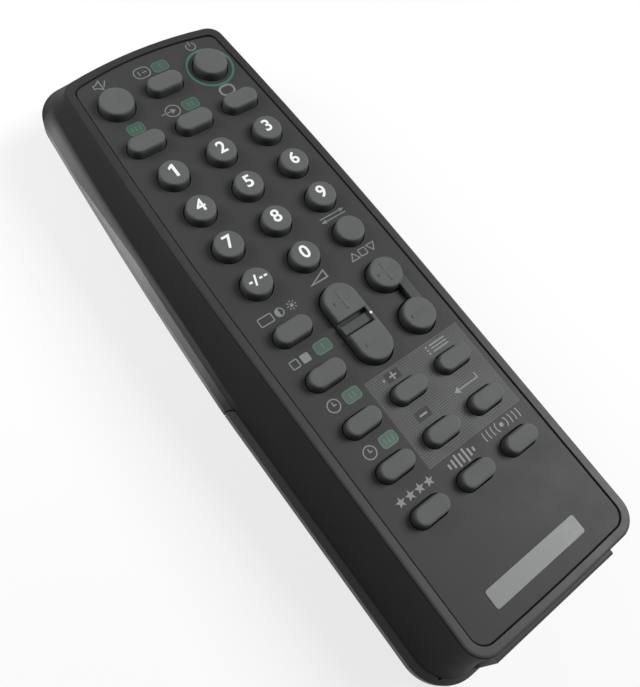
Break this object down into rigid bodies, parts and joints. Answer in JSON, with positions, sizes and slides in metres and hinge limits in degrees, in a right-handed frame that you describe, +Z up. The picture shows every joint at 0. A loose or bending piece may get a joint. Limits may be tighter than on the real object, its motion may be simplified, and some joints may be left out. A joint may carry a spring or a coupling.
{
  "type": "television remote control",
  "caption": "Hand-held television remote control with rubber keys, two tilting keys, an infrared window and a sliding battery door over its cells.",
  "frame": {"origin": "centre of the bounding box at its bottom, on the table under the flat underside", "axes": "+X to the right across the keys, +Y towards the far end with the infrared window, +Z up"},
  "size_m": [0.058, 0.1683, 0.0274],
  "materials": {
    "shell": "fine spark-eroded texture",
    "face": "painted plate, fine grain",
    "key": "moulded silicone, satin coat",
    "foil": "bare satin foil",
    "window": "dark, clear to infrared light",
    "lamp": "clear blue-grey epoxy",
    "board": "phenolic laminate with solder resist",
    "chip": "moulded epoxy",
    "ceramic": "dipped ceramic",
    "sleeve": "printed sleeve",
    "carbon": "printed carbon",
    "mat": "moulded silicone sheet",
    "cell": "plain sleeve, bare ends",
    "contact": "nickel plated spring steel",
    "screw": "zinc plated"
  },
  "bodies": {
    "case": {"lower_shell": "shell", "face_plate": "face", "name_plate": "foil", "infrared_window": "window", "infrared_lamp": "lamp", "circuit_board": "board", "controller_chip": "chip", "resonator": "ceramic", "capacitor": "sleeve", "contact_pads": "carbon", "key_mat": "mat", "cell_left": "cell", "cell_right": "cell", "contact_bridge": "contact", "contact_positive": "contact", "contact_negative": "contact", "spring_near": "contact", "spring_far": "contact", "case_screws": "screw"},
    "key_mute": {"key_mute": "key"},
    "key_status": {"key_status": "key"},
    "key_power": {"key_power": "key"},
    "key_text": {"key_text": "key"},
    "key_input": {"key_input": "key"},
    "key_picture": {"key_picture": "key"},
    "key_1": {"key_1": "key"},
    "key_2": {"key_2": "key"},
    "key_3": {"key_3": "key"},
    "key_4": {"key_4": "key"},
    "key_5": {"key_5": "key"},
    "key_6": {"key_6": "key"},
    "key_7": {"key_7": "key"},
    "key_8": {"key_8": "key"},
    "key_9": {"key_9": "key"},
    "key_two_digit": {"key_two_digit": "key"},
    "key_0": {"key_0": "key"},
    "key_jump": {"key_jump": "key"},
    "key_left_1": {"key_left_1": "key"},
    "key_left_2": {"key_left_2": "key"},
    "key_lower_1": {"key_lower_1": "key"},
    "key_lower_2": {"key_lower_2": "key"},
    "key_lower_3": {"key_lower_3": "key"},
    "key_lower_4": {"key_lower_4": "key"},
    "key_lower_5": {"key_lower_5": "key"},
    "key_lower_6": {"key_lower_6": "key"},
    "key_lower_7": {"key_lower_7": "key"},
    "key_lower_8": {"key_lower_8": "key"},
    "key_lower_9": {"key_lower_9": "key"},
    "key_volume": {"key_volume": "key"},
    "key_programme": {"key_programme": "key"},
    "battery_door": {"battery_door": "shell"}
  },
  "joints": [
    {"name": "battery_door_slide", "type": "slide", "parent": "case", "child": "battery_door", "axis": [0, -1, 0], "range_m": [0, 0.085]},
    {"name": "volume_tilt", "type": "hinge", "parent": "case", "child": "key_volume", "pos_m": [0.0005, -0.0106, 0.02205], "axis": [1, 0, 0], "range_deg": [-4, 4], "stiffness_Nm_per_rad": 0.04},
    {"name": "programme_tilt", "type": "hinge", "parent": "case", "child": "key_programme", "pos_m": [0.0135, -0.0106, 0.02205], "axis": [1, 0, 0], "range_deg": [-4, 4], "stiffness_Nm_per_rad": 0.04},
    {"name": "mute_press", "type": "slide", "parent": "case", "child": "key_mute", "axis": [0, 0, -1], "range_m": [0, 0.0007], "stiffness_N_per_m": 400, "springref_m": -0.0005},
    {"name": "status_press", "type": "slide", "parent": "case", "child": "key_status", "axis": [0, 0, -1], "range_m": [0, 0.0007], "stiffness_N_per_m": 400, "springref_m": -0.0005},
    {"name": "power_press", "type": "slide", "parent": "case", "child": "key_power", "axis": [0, 0, -1], "range_m": [0, 0.0007], "stiffness_N_per_m": 400, "springref_m": -0.0005},
    {"name": "text_press", "type": "slide", "parent": "case", "child": "key_text", "axis": [0, 0, -1], "range_m": [0, 0.0007], "stiffness_N_per_m": 400, "springref_m": -0.0005},
    {"name": "input_press", "type": "slide", "parent": "case", "child": "key_input", "axis": [0, 0, -1], "range_m": [0, 0.0007], "stiffness_N_per_m": 400, "springref_m": -0.0005},
    {"name": "picture_press", "type": "slide", "parent": "case", "child": "key_picture", "axis": [0, 0, -1], "range_m": [0, 0.0007], "stiffness_N_per_m": 400, "springref_m": -0.0005},
    {"name": "1_press", "type": "slide", "parent": "case", "child": "key_1", "axis": [0, 0, -1], "range_m": [0, 0.0007], "stiffness_N_per_m": 400, "springref_m": -0.0005},
    {"name": "2_press", "type": "slide", "parent": "case", "child": "key_2", "axis": [0, 0, -1], "range_m": [0, 0.0007], "stiffness_N_per_m": 400, "springref_m": -0.0005},
    {"name": "3_press", "type": "slide", "parent": "case", "child": "key_3", "axis": [0, 0, -1], "range_m": [0, 0.0007], "stiffness_N_per_m": 400, "springref_m": -0.0005},
    {"name": "4_press", "type": "slide", "parent": "case", "child": "key_4", "axis": [0, 0, -1], "range_m": [0, 0.0007], "stiffness_N_per_m": 400, "springref_m": -0.0005},
    {"name": "5_press", "type": "slide", "parent": "case", "child": "key_5", "axis": [0, 0, -1], "range_m": [0, 0.0007], "stiffness_N_per_m": 400, "springref_m": -0.0005},
    {"name": "6_press", "type": "slide", "parent": "case", "child": "key_6", "axis": [0, 0, -1], "range_m": [0, 0.0007], "stiffness_N_per_m": 400, "springref_m": -0.0005},
    {"name": "7_press", "type": "slide", "parent": "case", "child": "key_7", "axis": [0, 0, -1], "range_m": [0, 0.0007], "stiffness_N_per_m": 400, "springref_m": -0.0005},
    {"name": "8_press", "type": "slide", "parent": "case", "child": "key_8", "axis": [0, 0, -1], "range_m": [0, 0.0007], "stiffness_N_per_m": 400, "springref_m": -0.0005},
    {"name": "9_press", "type": "slide", "parent": "case", "child": "key_9", "axis": [0, 0, -1], "range_m": [0, 0.0007], "stiffness_N_per_m": 400, "springref_m": -0.0005},
    {"name": "two_digit_press", "type": "slide", "parent": "case", "child": "key_two_digit", "axis": [0, 0, -1], "range_m": [0, 0.0007], "stiffness_N_per_m": 400, "springref_m": -0.0005},
    {"name": "0_press", "type": "slide", "parent": "case", "child": "key_0", "axis": [0, 0, -1], "range_m": [0, 0.0007], "stiffness_N_per_m": 400, "springref_m": -0.0005},
    {"name": "jump_press", "type": "slide", "parent": "case", "child": "key_jump", "axis": [0, 0, -1], "range_m": [0, 0.0007], "stiffness_N_per_m": 400, "springref_m": -0.0005},
    {"name": "left_1_press", "type": "slide", "parent": "case", "child": "key_left_1", "axis": [0, 0, -1], "range_m": [0, 0.0007], "stiffness_N_per_m": 400, "springref_m": -0.0005},
    {"name": "left_2_press", "type": "slide", "parent": "case", "child": "key_left_2", "axis": [0, 0, -1], "range_m": [0, 0.0007], "stiffness_N_per_m": 400, "springref_m": -0.0005},
    {"name": "lower_1_press", "type": "slide", "parent": "case", "child": "key_lower_1", "axis": [0, 0, -1], "range_m": [0, 0.0007], "stiffness_N_per_m": 400, "springref_m": -0.0005},
    {"name": "lower_2_press", "type": "slide", "parent": "case", "child": "key_lower_2", "axis": [0, 0, -1], "range_m": [0, 0.0007], "stiffness_N_per_m": 400, "springref_m": -0.0005},
    {"name": "lower_3_press", "type": "slide", "parent": "case", "child": "key_lower_3", "axis": [0, 0, -1], "range_m": [0, 0.0007], "stiffness_N_per_m": 400, "springref_m": -0.0005},
    {"name": "lower_4_press", "type": "slide", "parent": "case", "child": "key_lower_4", "axis": [0, 0, -1], "range_m": [0, 0.0007], "stiffness_N_per_m": 400, "springref_m": -0.0005},
    {"name": "lower_5_press", "type": "slide", "parent": "case", "child": "key_lower_5", "axis": [0, 0, -1], "range_m": [0, 0.0007], "stiffness_N_per_m": 400, "springref_m": -0.0005},
    {"name": "lower_6_press", "type": "slide", "parent": "case", "child": "key_lower_6", "axis": [0, 0, -1], "range_m": [0, 0.0007], "stiffness_N_per_m": 400, "springref_m": -0.0005},
    {"name": "lower_7_press", "type": "slide", "parent": "case", "child": "key_lower_7", "axis": [0, 0, -1], "range_m": [0, 0.0007], "stiffness_N_per_m": 400, "springref_m": -0.0005},
    {"name": "lower_8_press", "type": "slide", "parent": "case", "child": "key_lower_8", "axis": [0, 0, -1], "range_m": [0, 0.0007], "stiffness_N_per_m": 400, "springref_m": -0.0005},
    {"name": "lower_9_press", "type": "slide", "parent": "case", "child": "key_lower_9", "axis": [0, 0, -1], "range_m": [0, 0.0007], "stiffness_N_per_m": 400, "springref_m": -0.0005}
  ]
}
